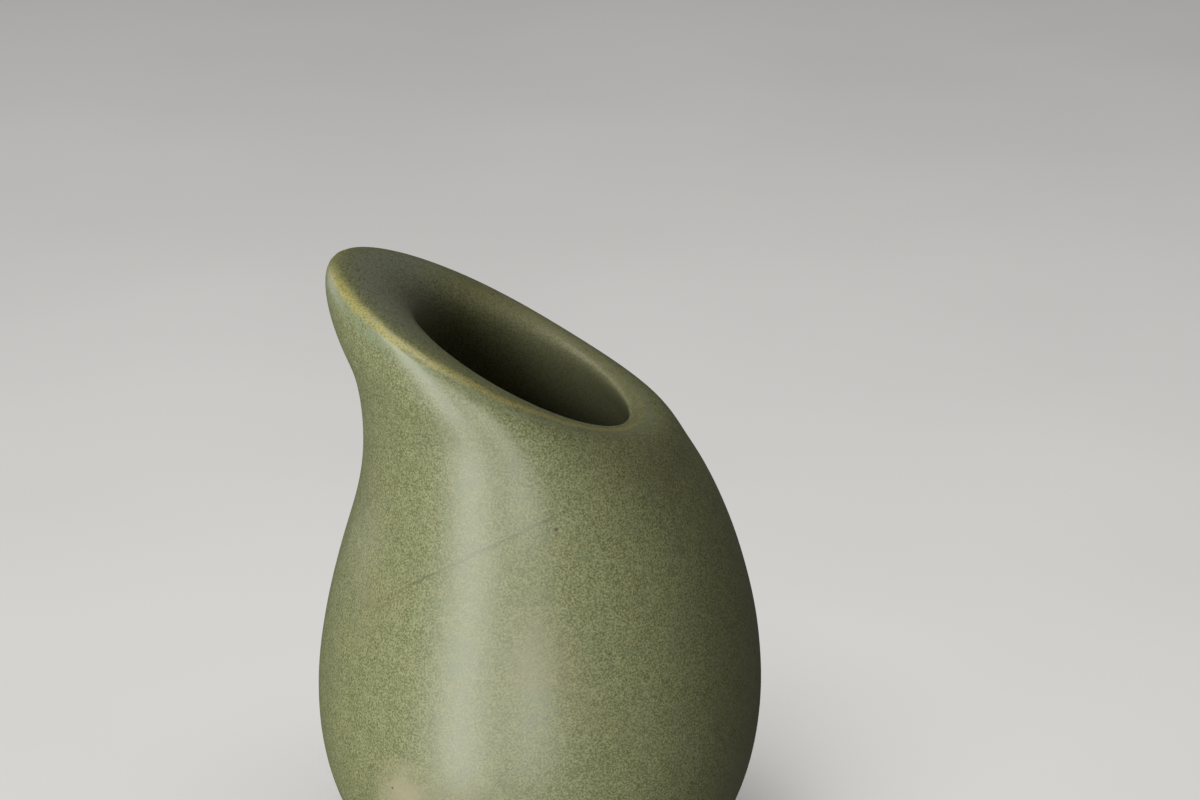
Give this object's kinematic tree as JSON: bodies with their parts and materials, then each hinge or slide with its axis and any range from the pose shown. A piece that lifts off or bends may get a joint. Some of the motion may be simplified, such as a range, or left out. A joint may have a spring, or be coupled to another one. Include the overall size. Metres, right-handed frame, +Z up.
{
  "type": "stoneware vase",
  "caption": "Round-bellied stoneware vase on a turned foot ring, with a short neck and a thick rolled lip that slants up into a beak, for holding cut stems.",
  "frame": {"origin": "centre of the foot ring on the surface that the vase stands on", "axes": "+Z up along the throwing axis; the beak of the lip rises towards -X and the low side of the lip is towards +X"},
  "size_m": [0.1348, 0.1348, 0.197],
  "materials": {
    "bare_clay": "matte",
    "outer_glaze": "satin",
    "liner_glaze": "satin"
  },
  "bodies": {
    "root": {"foot_ring": "bare_clay", "base_disc": "bare_clay", "lower_wall": "bare_clay", "belly_wall": "bare_clay", "shoulder_wall": "bare_clay", "lip": "bare_clay", "outer_glaze": "outer_glaze", "inner_glaze": "liner_glaze", "underside_glaze": "outer_glaze"}
  },
  "joints": []
}
